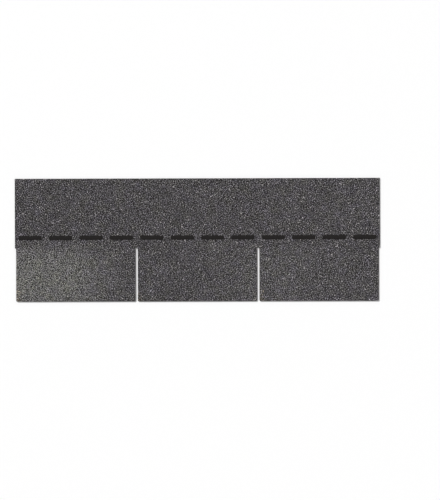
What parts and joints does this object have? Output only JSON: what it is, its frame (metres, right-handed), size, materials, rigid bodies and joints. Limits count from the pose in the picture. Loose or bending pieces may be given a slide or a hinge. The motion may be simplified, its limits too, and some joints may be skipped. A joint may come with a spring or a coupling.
{
  "type": "three-tab asphalt shingle",
  "caption": "Flat granule-faced asphalt strip shingle with tabs parted by narrow cutouts and a dashed adhesive seal strip across its head lap, nailed to a roof deck in courses.",
  "frame": {"origin": "middle of the underside, on the surface that the strip lies on", "axes": "+X along the strip, +Y up the roof slope from the tabs to the top edge, +Z out of the granule face"},
  "size_m": [1, 0.3364, 0.004],
  "materials": {
    "granules": "matte mineral granules in a charcoal and light grey blend",
    "sealant": "satin"
  },
  "bodies": {
    "root": {"shingle": "granules", "seal_strip": "sealant"}
  },
  "joints": []
}
